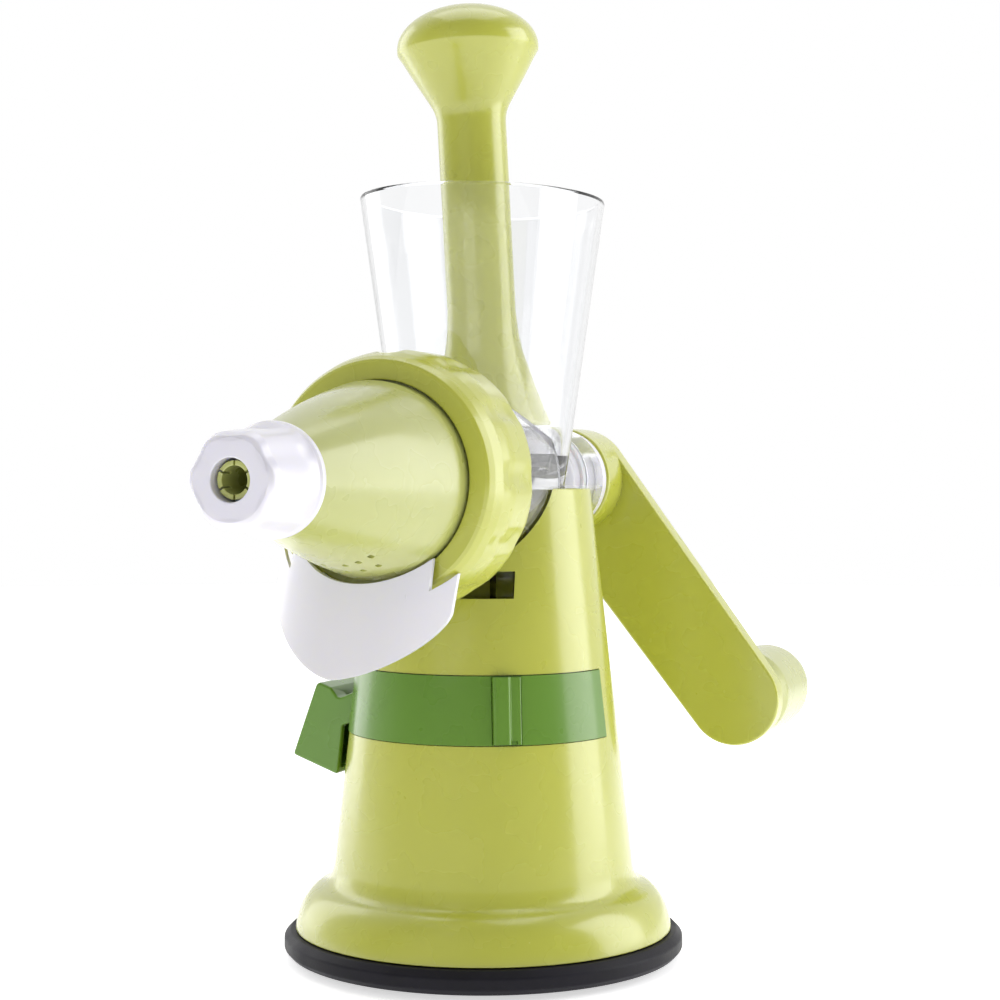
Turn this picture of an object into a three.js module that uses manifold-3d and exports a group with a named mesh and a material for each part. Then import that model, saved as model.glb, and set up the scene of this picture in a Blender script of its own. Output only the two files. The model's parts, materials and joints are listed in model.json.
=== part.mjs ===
// Hand-cranked screw juicer on a suction base. Millimetres, +Z up, nose towards -Y.
// The origin is the centre of the suction pad's underside.
import * as THREE from 'three';
import { mergeVertices } from 'three/addons/utils/BufferGeometryUtils.js';
import Module from 'manifold-3d';

const wasm = await Module();
wasm.setup();

// ---- driving dimensions ----
const GAP = 0.3;                 // clearance kept between touching pieces
const AXIS_Z = 173;              // height of the barrel's axis
const WALL = 2.4;                // column wall

const PAD_R = 72.5;              // suction pad
const PAD_RIM_H = 10.6;
const MEMBRANE_T = 3;
const COLUMN_BASE_R = 54.4;      // column radius just above its foot
const COLUMN_BASE_Z = 32;
const COLUMN_TOP_R = 39;
const COLUMN_TOP_Z = 170;
const BAND_Z0 = 81.8;            // dark band round the column's front
const BAND_Z1 = 106;
const BAND_END_Y = -4;           // the band stops just in front of the column's side
const BAND_DEPTH = 1.6;
const CLIP_ANGLE = 32;           // degrees from the front towards +X
const CLIP_W = 10;
const CLIP_BACK = 0.2;           // its back lies this deep in the band
const WINDOW_Z0 = 132;           // window under the barrel
const WINDOW_Z1 = 141.4;
const WINDOW_HALF_ANGLE = 37.5;

const SADDLE_R = 34.2;           // front notch in the column's top
const REAR_SADDLE_R = 21.6;
const TUBE_R = 20.8;             // barrel tube
const BORE_R = 17;
const SHROUD_R = 33.6;           // clear cup that sits in the saddle
const COLLAR_R = 36.6;           // front collar inside the locking ring
const MOUTH_Z = 275;             // hopper
const MOUTH_RX = 43.2;
const MOUTH_RY = 52.8;
const HOPPER_WALL = 2.2;

const RING_BACK = 61;            // distances forward of the column's axis
const RING_FRONT = 91;
const RING_R = 43.2;
const RING_FACE_R = 38.8;
const RING_BORE_R = 37.2;
const RING_LIP_R = 32.6;
const RING_LOBES = 12;
const RING_TURN = 7.3;           // the ring is tightened to this angle past straight down
const NOTCH_HALF_W = 22.2;       // gap in the ring's front for the spout
const SCALLOP = 0.7;             // depth of the ring's grip dents
const CONE_R = 32.1;
const CONE_END = 160;
const CONE_END_R = 14.9;
const CONE_WALL = 2;
const NUT_FRONT = 186;
const NUT_SKIRT_R = 17.4;
const NUT_FACE_R = 13.6;
const NUT_LOBE = 1.2;            // depth of the dents between the nut's six lobes
const OUTLET_R = 5.6;
const OUTLET_BORE_R = 4.1;
const TUBE_BACK = 73.8;          // distances behind the column's axis
const SPOUT_HALF_W = 31.7;
const SPOUT_FRONT = 104;         // the spout's middle, level with the axis less SPOUT_LEVEL
const SPOUT_LEVEL = 25;
const SPOUT_WRAP = 0.01504;      // how fast its sides curve back towards the ring
const SPOUT_FLARE = 0.147;       // how fast it comes forward on the way down
const SPOUT_T = 2;

const AUGER_R = 15.8;
const AUGER_CORE_R = 9;
const SHAFT_R = 6;
const HUB_FACE = 80.7;
const ARM_FACE = 97.5;
const ARM_T = 9;
const ARM_LENGTH = 110;
const ARM_HUB_R = 20.9;
const ARM_END_R = 18.6;
const ARM_ANGLE = 37.5;          // degrees from straight down towards +X
const KNOB_R = 17.6;
const KNOB_LENGTH = 58;

const PUSHER_FOOT_Z = 191.8;
const FOOT_SADDLE_R = 30;        // hollow under the foot, about the axis of the barrel
const PUSHER_TOP_Z = 346.6;
const PUSHER_SHAFT_R = 12.6;
const PUSHER_KNOB_R = 26;

const PIN_X = -37;               // lever's hinge pin
const PIN_Z = 92;
const PIN_R = 2;
const LEVER_TILT = 20;           // paddle leans out by this many degrees
const LEVER_SLOT_Z0 = 81;
const LEVER_SLOT_Z1 = 103.6;
const LEVER_HALF_W = 15;
const CAM_START = 6.5;           // cam lift grows evenly with the lever's turn
const CAM_RATE = 4.4;            // millimetres of lift for each radian
const ROD_R = 4;

// ---- materials ----
const finish = (color, roughness, metalness = 0, opacity = 1) => new THREE.MeshStandardMaterial({
  color, roughness, metalness, opacity, transparent: opacity < 1,
});
const LIME = finish(0xc3c763, 0.32);
const GREEN = finish(0x64942f, 0.35);
const WHITE = finish(0xf1eff6, 0.35);
const CLEAR = finish(0xf2f4f6, 0.08, 0, 0.3);
const BLACK = finish(0x2b2730, 0.7);
const STEEL = finish(0xb9bcc2, 0.3, 0.9);
const SILICONE = finish(0xdedee0, 0.6);

// ---- solids ----
function signedVolume(positions, index) {
  const a = new THREE.Vector3();
  const b = new THREE.Vector3();
  const c = new THREE.Vector3();
  let total = 0;
  for (let i = 0; i < index.length; i += 3) {
    a.fromBufferAttribute(positions, index[i]);
    b.fromBufferAttribute(positions, index[i + 1]);
    c.fromBufferAttribute(positions, index[i + 2]);
    total += a.dot(b.cross(c));
  }
  return total / 6;
}

// Merges shared vertices, drops collapsed triangles and turns the faces outwards.
function clean(geometry) {
  const bare = geometry.clone();
  for (const name of Object.keys(bare.attributes)) {
    if (name !== 'position') bare.deleteAttribute(name);
  }
  bare.clearGroups();
  const merged = mergeVertices(bare, 1e-4);
  const source = merged.index.array;
  const kept = [];
  for (let i = 0; i < source.length; i += 3) {
    const [a, b, c] = [source[i], source[i + 1], source[i + 2]];
    if (a !== b && b !== c && c !== a) kept.push(a, b, c);
  }
  if (signedVolume(merged.attributes.position, kept) < 0) kept.reverse();
  merged.setIndex(kept);
  return merged;
}

function toManifold(geometry) {
  const solid = clean(geometry);
  const mesh = new wasm.Mesh({
    numProp: 3,
    vertProperties: Float32Array.from(solid.attributes.position.array),
    triVerts: Uint32Array.from(solid.index.array),
  });
  mesh.merge();
  return new wasm.Manifold(mesh);
}

function toGeometry(manifold) {
  const mesh = manifold.getMesh();
  const geometry = new THREE.BufferGeometry();
  geometry.setAttribute('position', new THREE.BufferAttribute(mesh.vertProperties, 3));
  geometry.setIndex(Array.from(mesh.triVerts));
  return clean(geometry);
}

function join(first, ...others) {
  return toGeometry(others.reduce((sum, each) => sum.add(toManifold(each)), toManifold(first)));
}

function cut(first, ...tools) {
  return toGeometry(tools.reduce((left, each) => left.subtract(toManifold(each)), toManifold(first)));
}

const radians = THREE.MathUtils.degToRad;

// A solid of revolution about Z from [radius, z] points.
function turned(profile, segments = 48) {
  const points = profile.map(([r, z]) => new THREE.Vector2(r, z));
  const geometry = new THREE.LatheGeometry([...points, points[0]], segments);
  geometry.rotateX(Math.PI / 2);
  return clean(geometry);
}

function disc(radius, z0, z1, segments = 32) {
  return turned([[0, z0], [radius, z0], [radius, z1], [0, z1]], segments);
}

function tube(outer, inner, z0, z1, segments = 48) {
  return turned([[inner, z0], [outer, z0], [outer, z1], [inner, z1]], segments);
}

function block(x0, x1, y0, y1, z0, z1) {
  const geometry = new THREE.BoxGeometry(x1 - x0, y1 - y0, z1 - z0);
  geometry.translate((x0 + x1) / 2, (y0 + y1) / 2, (z0 + z1) / 2);
  return clean(geometry);
}

function moved(geometry, x, y, z) {
  return geometry.clone().translate(x, y, z);
}

// An outline in XY pushed along Z from z0 to z1.
function plate(shape, z0, z1, curveSegments = 16) {
  const geometry = new THREE.ExtrudeGeometry(shape, { depth: z1 - z0, bevelEnabled: false, curveSegments });
  geometry.translate(0, 0, z0);
  return clean(geometry);
}

// Lays an upright piece along the barrel's axis, with its Z pointing forward.
function alongBarrel(geometry) {
  return geometry.clone().rotateX(Math.PI / 2).translate(0, 0, AXIS_Z);
}

const group = new THREE.Group();

function add(name, geometry, material, parent = group) {
  const mesh = new THREE.Mesh(geometry, material);
  mesh.name = name;
  parent.add(mesh);
  return mesh;
}

// ---- suction base and column ----
const columnRadius = (z) => COLUMN_BASE_R
  - (COLUMN_BASE_R - COLUMN_TOP_R) * (z - COLUMN_BASE_Z) / (COLUMN_TOP_Z - COLUMN_BASE_Z);

// Points on a quarter-like arc: centre, half-axes, first and last angle in degrees.
function arc(cr, cz, rr, rz, from, to, steps) {
  return Array.from({ length: steps + 1 }, (_, i) => {
    const angle = radians(from + (to - from) * i / steps);
    return [cr + rr * Math.cos(angle), cz + rz * Math.sin(angle)];
  });
}

function suctionPad() {
  const bossTop = 10.5;
  return turned([
    [0, 0], [61, 0], [70.6, 2.4], [PAD_R, 4.4], [PAD_R, 8.2], [PAD_R - 2.4, PAD_RIM_H], [63, PAD_RIM_H],
    [60, MEMBRANE_T], [14.5, MEMBRANE_T], [14.5, bossTop], [ROD_R + GAP, bossTop],
    [ROD_R + GAP, 7.2], [12.4, 7.2], [12.4, 4], [0, 4],
  ], 44);
}

function basePlate() {
  const plateSolid = turned([
    [60, 12.4], [60, 15], [14.6, 15], [14.6, 33], [ROD_R + GAP, 33], [ROD_R + GAP, 30],
    [12.3, 30], [12.3, 12.4],
  ], 28);
  const holes = screwPlaces().map(([x, y]) => moved(disc(1.9, 10, 17, 8), x, y, 0));
  return cut(plateSolid, ...holes);
}

function screwPlaces() {
  return [45, 135, 225, 315].map((angle) => [
    48 * Math.cos(radians(angle)), 48 * Math.sin(radians(angle)),
  ]);
}

function baseScrew() {
  return turned([[0, 10.2], [3.4, 10.2], [3.4, 12.1], [1.5, 12.1], [1.5, 24], [0, 24]], 8);
}

function columnShell() {
  const footBottom = PAD_RIM_H + GAP;
  const outer = [
    ...arc(56.6, 8, 12, 18.8, 4, 80, 5), [56.4, 28.2], [55.1, 30.2], [COLUMN_BASE_R, 33],
    [COLUMN_TOP_R, COLUMN_TOP_Z],
  ];
  const inner = [
    [COLUMN_TOP_R - WALL, COLUMN_TOP_Z], [COLUMN_BASE_R - WALL, 33], [56, 24], [62.5, 18],
    [65.6, footBottom],
  ];
  const shell = turned([[68.4, footBottom], ...outer, ...inner], 48);
  const bosses = screwPlaces().map(([x, y]) => moved(disc(4, 15.3, 40, 8), x, y, 0));
  const pilots = screwPlaces().map(([x, y]) => moved(disc(1.8, 14, 26, 8), x, y, 0));
  const groove = cut(turned([
    [columnRadius(BAND_Z0) - BAND_DEPTH, BAND_Z0], [80, BAND_Z0], [80, BAND_Z1],
    [columnRadius(BAND_Z1) - BAND_DEPTH, BAND_Z1],
  ], 48), bandRear(0));
  const frontSaddle = alongBarrel(disc(SADDLE_R, 0, 60, 48));
  const rearSaddle = alongBarrel(disc(REAR_SADDLE_R, -60, 0, 36));
  const reach = columnRadius(WINDOW_Z1) * Math.sin(radians(WINDOW_HALF_ANGLE));
  const window = block(-reach, reach, -60, -28, WINDOW_Z0, WINDOW_Z1);
  return cut(join(shell, ...bosses), ...pilots, groove, frontSaddle, rearSaddle, window, leverSlot());
}

function leverSlot() {
  const half = LEVER_HALF_W + 0.6;
  return block(-62, -36, -half, half, LEVER_SLOT_Z0, LEVER_SLOT_Z1);
}

// The part of the column's girth that the band leaves plain.
function bandRear(gap) {
  return block(-90, 90, BAND_END_Y - gap, 90, BAND_Z0 - 5, BAND_Z1 + 5);
}

function greenBand() {
  const inside = (z) => columnRadius(z) - BAND_DEPTH + GAP;
  const ring = turned([
    [inside(BAND_Z0), BAND_Z0 + GAP], [columnRadius(BAND_Z0) + 0.5, BAND_Z0 + GAP],
    [columnRadius(BAND_Z1) + 0.5, BAND_Z1 - GAP], [inside(BAND_Z1), BAND_Z1 - GAP],
  ], 48);
  const half = CLIP_W / 2 + GAP;
  const seat = onBand(block(-half, half, -8, CLIP_BACK + GAP, BAND_Z0 - 1, BAND_Z1 + 1));
  return cut(ring, seat, leverSlot(), bandRear(GAP));
}

// Leans a piece drawn on the plane Y = 0 against the column's face, at the clip's angle.
function onBand(geometry) {
  const lean = Math.atan((columnRadius(BAND_Z0) - columnRadius(BAND_Z1)) / (BAND_Z1 - BAND_Z0));
  return geometry
    .translate(0, 0, -BAND_Z0)
    .rotateX(-lean)
    .translate(0, -columnRadius(BAND_Z0), BAND_Z0)
    .rotateZ(radians(CLIP_ANGLE));
}

function bandClip() {
  const half = CLIP_W / 2;
  const section = new THREE.Shape();
  section.moveTo(-half, CLIP_BACK);
  section.lineTo(-half, -0.4);
  section.quadraticCurveTo(-half + 0.6, -2.4, -half + 3.4, -2.4);
  section.lineTo(half - 3.4, -2.4);
  section.quadraticCurveTo(half - 0.6, -2.4, half, -0.4);
  section.lineTo(half, CLIP_BACK);
  const bar = plate(section, BAND_Z0 + 0.6, BAND_Z1 - 0.6, 4);
  const notch = block(-1.2, 1.2, -3, 0, BAND_Z0, BAND_Z0 + 1.9);
  return onBand(cut(bar, notch));
}

function barrelRest() {
  return disc(columnRadius(122) - WALL - 2 * GAP, 119.5, 122.5, 48);
}

// ---- suction mechanism ----
function liftRod() {
  return turned([[0, 4.3], [12, 4.3], [12, 6.9], [ROD_R, 6.9], [ROD_R, 113], [0, 113]], 20);
}

function springWasher() {
  return tube(11.6, ROD_R + GAP, 10.8, 12.1, 24);
}

class Helix extends THREE.Curve {
  constructor(radius, z0, z1, turns) {
    super();
    Object.assign(this, { radius, z0, z1, turns });
  }

  getPoint(t, target = new THREE.Vector3()) {
    const angle = 2 * Math.PI * this.turns * t;
    const z = this.z0 + (this.z1 - this.z0) * t;
    return target.set(this.radius * Math.cos(angle), this.radius * Math.sin(angle), z);
  }
}

function returnSpring() {
  const wire = 0.9;
  const section = new THREE.Shape().absarc(0, 0, wire, 0, 2 * Math.PI);
  const coils = 3;
  return clean(new THREE.ExtrudeGeometry(section, {
    steps: coils * 12, curveSegments: 3, extrudePath: new Helix(9.2, 13.6, 28.6, coils), bevelEnabled: false,
  }));
}

const CROSSHEAD_Z = PIN_Z + CAM_START + GAP;

function crosshead() {
  const bar = block(-42, 9, -6.6, 6.6, CROSSHEAD_Z, CROSSHEAD_Z + 6);
  return cut(bar, disc(ROD_R + GAP, CROSSHEAD_Z - 1, CROSSHEAD_Z + 7, 20));
}

function rodNut() {
  const z0 = CROSSHEAD_Z + 6 + GAP;
  return cut(disc(7, z0, z0 + 5, 6), disc(ROD_R + 0.15, z0 - 1, z0 + 6, 20));
}

// Pieces that lie along Y through the hinge pin.
function alongPin(geometry) {
  return geometry.clone().rotateX(Math.PI / 2).translate(PIN_X, 0, PIN_Z);
}

function leverPin() {
  return alongPin(disc(PIN_R, -20.6, 20.6, 16));
}

function pinClip(side) {
  return alongPin(tube(3, PIN_R + 0.15, side * 20 - 0.5, side * 20 + 0.5, 12));
}

function leverBracket() {
  const web = block(-39.4, -28, -19, 19, 76, 80);
  const cheeks = [-1, 1].map((side) => {
    const middle = side * 17.4;
    return block(-39.4, -28, middle - 1.6, middle + 1.6, 79, PIN_Z + 6);
  });
  return cut(join(web, ...cheeks), alongPin(disc(PIN_R + 0.1, -22, 22, 16)));
}

// The cam's flat follower rises by CAM_RATE for each radian: an involute of that radius.
function camShape() {
  const shape = new THREE.Shape();
  const sweep = radians(62);
  const steps = 12;
  for (let i = 0; i <= steps; i += 1) {
    const turn = sweep * i / steps;
    const height = CAM_START + CAM_RATE * turn;
    const x = -CAM_RATE * Math.cos(turn) - height * Math.sin(turn);
    const y = height * Math.cos(turn) - CAM_RATE * Math.sin(turn);
    if (i === 0) shape.moveTo(0, CAM_START);
    shape.lineTo(x, y);
  }
  shape.lineTo(-4, -4);
  shape.lineTo(4, -4);
  shape.lineTo(4, 3);
  shape.closePath();
  return shape;
}

function lever() {
  const tilt = radians(LEVER_TILT);
  const down = new THREE.Vector2(-Math.sin(tilt), -Math.cos(tilt));
  const inward = new THREE.Vector2(Math.cos(tilt), -Math.sin(tilt));
  const top = new THREE.Vector2(-60.6, 98.6);
  const outerLow = top.clone().addScaledVector(down, 29.4);
  const innerLow = outerLow.clone().addScaledVector(inward, 19.6);
  const outline = new THREE.Shape();
  outline.moveTo(top.x, top.y);
  outline.lineTo(outerLow.x, outerLow.y);
  outline.lineTo(innerLow.x, innerLow.y);
  outline.lineTo(-50.2, 82.6);
  outline.lineTo(-44, 84.6);
  outline.lineTo(PIN_X, PIN_Z - 5.6);
  outline.lineTo(PIN_X + 1, PIN_Z + 5.2);
  outline.lineTo(-41, PIN_Z + 5);
  outline.lineTo(-52, PIN_Z + 0.5);
  outline.lineTo(-55, PIN_Z + 4.4);
  outline.closePath();
  // The outline is drawn in X and Z, so its plate is stood up to run along Y.
  const stand = (geometry) => geometry.rotateX(Math.PI / 2);
  const body = stand(plate(outline, -LEVER_HALF_W, LEVER_HALF_W));
  const hollow = block(-53.5, -20, -7.2, 7.2, 60, 110);
  const spot = (along, across) => top.clone()
    .addScaledVector(down, along)
    .addScaledVector(inward, across);
  const recess = new THREE.Shape([spot(6, 2.6), spot(27, 2.6), spot(27, 26), spot(6, 26)]);
  const pocket = stand(plate(recess, -LEVER_HALF_W + 2.4, LEVER_HALF_W - 2.4));
  const hub = alongPin(disc(5.6, -LEVER_HALF_W, LEVER_HALF_W, 24));
  const cam = stand(plate(camShape(), -4.5, 4.5)).translate(PIN_X, 0, PIN_Z);
  const solid = join(cut(body, hollow, pocket), hub, cam);
  return cut(solid, alongPin(disc(PIN_R + 0.1, -LEVER_HALF_W - 1, LEVER_HALF_W + 1, 16)));
}

// ---- clear hopper and barrel ----
// An upright solid with oval sections from [half-width, half-length, z] levels.
function oval(levels, segments = 40) {
  const last = levels.length - 1;
  const sides = levels.map(([, , z]) => [1, z]);
  const solid = turned([[0, levels[0][2]], ...sides, [0, levels[last][2]]], segments);
  const positions = solid.attributes.position;
  for (let i = 0; i < positions.count; i += 1) {
    const level = levels.find(([, , z]) => Math.abs(z - positions.getZ(i)) < 1e-3);
    positions.setXY(i, positions.getX(i) * level[0], positions.getY(i) * level[1]);
  }
  return clean(solid);
}

function hopperBarrel() {
  const base = { rx: 29.2, ry: 36.2, z: 173 };
  const slopeX = (MOUTH_RX - base.rx) / (MOUTH_Z - base.z);
  const slopeY = (MOUTH_RY - base.ry) / (MOUTH_Z - base.z);
  const inside = (z) => [
    base.rx + slopeX * (z - base.z) - HOPPER_WALL, base.ry + slopeY * (z - base.z) - HOPPER_WALL, z,
  ];
  const hopper = oval([
    [8, 12, 152.8], [19, 25, 155], [26, 32.5, 161], [base.rx, base.ry, base.z],
    [MOUTH_RX, MOUTH_RY, MOUTH_Z],
  ]);
  const throat = oval([[11, 26, 171], [17, 30, 174.5], inside(181), inside(MOUTH_Z + 1)]);
  const outside = alongBarrel(turned([
    [0, -TUBE_BACK], [TUBE_R, -TUBE_BACK], [TUBE_R, 36.8], [SHROUD_R, 36.8], [SHROUD_R, 39.2],
    [TUBE_R + 1, 39.2], [TUBE_R + 1, 60], [COLLAR_R, 63], [COLLAR_R, 84], [0, 84],
  ], 36));
  const shroud = alongBarrel(tube(SHROUD_R, SHROUD_R - 2.4, 10, 38, 36));
  const foot = block(-17, 17, -31.5, 22, 123, 156);
  const snapPlate = block(-24, 24, -31.5, -29, 126, 143);
  const footHollow = block(-14.6, 14.6, -28.8, 19.6, 122, 148);
  const bore = alongBarrel(disc(BORE_R, -58, 90, 32));
  const bushSeat = alongBarrel(disc(10.3, -80, -50, 24));
  const solid = join(outside, shroud, cut(join(foot, snapPlate), footHollow), hopper);
  return cut(solid, throat, bore, bushSeat);
}

function rearBush() {
  return alongBarrel(turned([
    [SHAFT_R + GAP, -58.3], [10, -58.3], [10, -74.1], [20.4, -74.1], [20.4, -79.3], [19.4, -80.3],
    [SHAFT_R + GAP, -80.3],
  ], 32));
}

function shaftSeal() {
  return alongBarrel(tube(16.7, SHAFT_R + GAP, -57.7, -54.4, 24));
}

// ---- front end: ring, cone, nut and spout ----
// Presses count lobes into a turned solid; depth gives how deep at each radius and distance.
function lobed(geometry, count, depth) {
  const positions = geometry.attributes.position;
  for (let i = 0; i < positions.count; i += 1) {
    const [x, y, s] = [positions.getX(i), positions.getY(i), positions.getZ(i)];
    const radius = Math.hypot(x, y);
    const wave = 0.5 - 0.5 * Math.cos(count * Math.atan2(y, x));
    const scale = radius > 0 ? 1 - wave * depth(radius, s) / radius : 1;
    positions.setXY(i, x * scale, y * scale);
  }
  return clean(geometry);
}

function frontSeal() {
  return alongBarrel(tube(35.6, 33, 84.2, 85.2, 32));
}

function lockRing() {
  const grip = lobed(turned([
    [RING_BORE_R, RING_BACK], [RING_R - 1, RING_BACK], [RING_R, RING_BACK + 1], [RING_R, 77],
    [RING_R - 0.5, 80], [RING_R - 1.3, 84], [RING_R - 2.6, 88], [RING_FACE_R + 0.6, 90.4],
    [RING_FACE_R - 0.4, RING_FRONT], [RING_LIP_R, RING_FRONT], [RING_LIP_R, 88.3], [RING_BORE_R, 88.3],
  ], 72), RING_LOBES, (radius, s) => (radius > RING_R - 1.5 && s < 84 ? SCALLOP : 0));
  const notch = block(-NOTCH_HALF_W, NOTCH_HALF_W, -52, -20, 81.5, 92);
  return alongBarrel(cut(grip, notch).rotateZ(radians(-RING_TURN)));
}

// A thin curved slab: u runs across, v outwards and w through its thickness, each from 0 to 1.
function bent(across, out, place) {
  const slab = new THREE.BoxGeometry(1, 1, 1, across, out, 1);
  const positions = slab.attributes.position;
  for (let i = 0; i < positions.count; i += 1) {
    const [u, v, w] = [positions.getX(i) + 0.5, positions.getY(i) + 0.5, positions.getZ(i) + 0.5];
    positions.setXYZ(i, ...place(u, v, w));
  }
  return clean(slab);
}

// The spout's top edge: it clears the cone in the middle and the ring at its sides.
function spoutTop(x) {
  const radius = Math.abs(x) < 24.6 ? 33 : 41;
  return -Math.sqrt(radius * radius - x * x);
}

// The spout's lower edge: a soft point below straight sides.
function spoutBottom(x) {
  const sideDrop = 39;
  const pointDrop = 24.9;
  const pointedness = 1.31;
  const along = Math.max(0, 1 - Math.abs(x / SPOUT_HALF_W) ** (2 / pointedness));
  return -sideDrop - pointDrop * along ** (pointedness / 2);
}

function juiceSpout() {
  const apron = bent(24, 3, (u, v, w) => {
    const x = SPOUT_HALF_W * Math.sin(Math.PI / 2 * (2 * u - 1));
    const y = spoutTop(x) + (spoutBottom(x) - spoutTop(x)) * v;
    return [x, y, SPOUT_FRONT - SPOUT_WRAP * x * x - SPOUT_FLARE * (y + SPOUT_LEVEL) - SPOUT_T * (1 - w)];
  });
  const tabHalf = radians(30.3);
  const tab = bent(8, 1, (u, v, w) => {
    const angle = tabHalf * (2 * u - 1);
    const radius = 38.4 + 4 * v;
    return [radius * Math.sin(angle), -radius * Math.cos(angle), 82.4 + 12.8 * w];
  });
  const rails = [-18.3, 18.3].map((x) => block(x - 1.1, x + 1.1, -38.4, -34.4, 88.6, 100));
  return alongBarrel(join(apron, tab, ...rails).rotateZ(radians(-RING_TURN)));
}

function noseCone() {
  const slope = (CONE_R - CONE_END_R) / (CONE_END - 97);
  const bulge = (s) => 1.3 * Math.sin(Math.PI * (s - 97) / (CONE_END - 97));
  const outside = (s) => CONE_R - slope * (s - 97) + bulge(s);
  const stations = [97, 112, 128, 144, CONE_END - 0.2];
  const outer = stations.map((s) => [outside(s), s]);
  const inner = stations.slice(0, -1).reverse().map((s) => [outside(s) - CONE_WALL, s]);
  const solid = turned([
    [30.1, 85.5], [36.2, 85.5], [36.2, 88], [CONE_R, 88], ...outer, [10, CONE_END], [10, 176],
    [OUTLET_R, 176], [OUTLET_R, 183.4], [OUTLET_BORE_R, 183.4], [OUTLET_BORE_R, 160], ...inner,
  ], 40);
  const holes = [];
  for (const [s, angles] of [[112, [-22, -11, 0, 11, 22]], [121, [-28, -18, -8, 8, 18, 28]]]) {
    for (const angle of angles) {
      const drill = disc(0.9, 20, 40, 8).scale(1, 1.7, 1).rotateX(Math.PI / 2).rotateZ(radians(angle));
      holes.push(moved(drill, 0, 0, s));
    }
  }
  const slits = [0, 60, 120].map((turn) => block(-0.35, 0.35, -7, 7, 179, 185).rotateZ(radians(turn)));
  return alongBarrel(cut(solid, ...holes, ...slits));
}

function outletNut() {
  const nut = lobed(turned([
    [10.5, CONE_END + GAP], [NUT_SKIRT_R, CONE_END + GAP], [NUT_SKIRT_R, 162.4], [16.6, 163.4],
    [16.1, 166], [15.2, 178], [14.7, 182.5], [NUT_FACE_R, NUT_FRONT - 0.4], [NUT_FACE_R - 0.8, NUT_FRONT],
    [6.3, NUT_FRONT], [6.3, 178.5], [10.5, 178.5],
  ], 48), 6, (radius, s) => (radius > 12 && s > 165 ? NUT_LOBE : 0));
  return alongBarrel(nut);
}

function nutWasher() {
  return alongBarrel(tube(10.1, OUTLET_R + GAP, 176.3, 178.2, 24));
}

// ---- auger, shaft and strainer ----
function auger() {
  const from = -52;
  const to = 148;
  const steps = 44;
  const sides = 18;
  const flight = (s) => (s < 84 ? AUGER_R : AUGER_R - (AUGER_R - 10) * (s - 84) / (to - 84));
  const core = (s) => AUGER_CORE_R - 3 * Math.max(0, s - 60) / (to - 60);
  const pitch = 24;
  const screw = new THREE.CylinderGeometry(1, 1, to - from, sides, steps).rotateX(Math.PI / 2);
  screw.translate(0, 0, (from + to) / 2);
  const solid = clean(screw);
  const positions = solid.attributes.position;
  for (let i = 0; i < positions.count; i += 1) {
    const [x, y, s] = [positions.getX(i), positions.getY(i), positions.getZ(i)];
    const angle = Math.atan2(y, x);
    const radius = Math.hypot(x, y);
    const ridge = ((1 + Math.cos(angle)) / 2) ** 3;
    const reach = radius * (core(s) + (flight(s) - core(s)) * ridge);
    const turn = angle + 2 * Math.PI * s / pitch;
    positions.setXY(i, reach * Math.cos(turn), reach * Math.sin(turn));
  }
  const socket = disc(SHAFT_R + GAP, from - 2, -29, 24);
  const collar = tube(15.6, 5, from - 2, from + 4, 24);
  return alongBarrel(cut(join(clean(solid), collar), socket));
}

function driveShaft() {
  return alongBarrel(turned([
    [0, -29.6], [SHAFT_R, -29.6], [SHAFT_R, -105.4], [2.3, -105.4], [2.3, -90], [0, -90],
  ], 24));
}

function strainer() {
  const shell = turned([
    [17.4, 84.5], [29.7, 84.5], [29.7, 86.6], [19, 86.6], [12.6, 150], [11.3, 150], [17.4, 88],
  ], 32);
  const slots = [];
  for (let i = 0; i < 8; i += 1) {
    slots.push(block(-0.5, 0.5, 8, 24, 94, 142).rotateZ(radians(45 * i)));
  }
  return alongBarrel(cut(shell, ...slots));
}

// ---- crank ----
const CRANK_X = ARM_LENGTH * Math.sin(radians(ARM_ANGLE));
const CRANK_DROP = ARM_LENGTH * Math.cos(radians(ARM_ANGLE));

function crankArm() {
  const spread = Math.asin((ARM_HUB_R - ARM_END_R) / ARM_LENGTH);
  const outline = new THREE.Shape();
  // Drawn pointing straight down, then turned to the crank's rest angle.
  outline.absarc(0, 0, ARM_HUB_R, -spread, Math.PI + spread, false);
  outline.absarc(0, -ARM_LENGTH, ARM_END_R, Math.PI + spread, 2 * Math.PI - spread, false);
  outline.closePath();
  const arm = plate(outline, -ARM_FACE - ARM_T, -ARM_FACE, 12).rotateZ(radians(ARM_ANGLE));
  const hub = disc(ARM_HUB_R, -ARM_FACE - 1, -HUB_FACE, 40);
  const hubBore = disc(9.3, -ARM_FACE - ARM_T - 1, -HUB_FACE + 1, 24);
  const spindleHole = moved(disc(4 + GAP, -ARM_FACE - ARM_T - 1, -101, 20), CRANK_X, -CRANK_DROP, 0);
  return alongBarrel(cut(join(arm, hub), hubBore, spindleHole));
}

function crankInsert() {
  return alongBarrel(tube(9, SHAFT_R + 0.15, -106.2, -81.1, 24));
}

function crankScrew() {
  return alongBarrel(turned([[0, -92], [2, -92], [2, -106.5], [7.6, -106.5], [7.6, -109], [0, -109]], 20));
}

function crankCap() {
  return alongBarrel(turned([
    [8.1, -106.8], [11, -106.8], [11, -110.6], [9, -112.4], [0, -113], [0, -109.5], [8.1, -109.5],
  ], 24));
}

// Pieces of the knob are drawn on its own axis.
function alongKnob(geometry) {
  return alongBarrel(moved(geometry, CRANK_X, -CRANK_DROP, 0));
}

function knobSpindle() {
  return alongKnob(disc(4, -158, -101.3, 20));
}

function knobWasher() {
  return alongKnob(tube(8, 4.3, -107.8, -106.8, 24));
}

function knobScrew() {
  return alongKnob(disc(6, -161, -158.3, 16));
}

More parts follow.
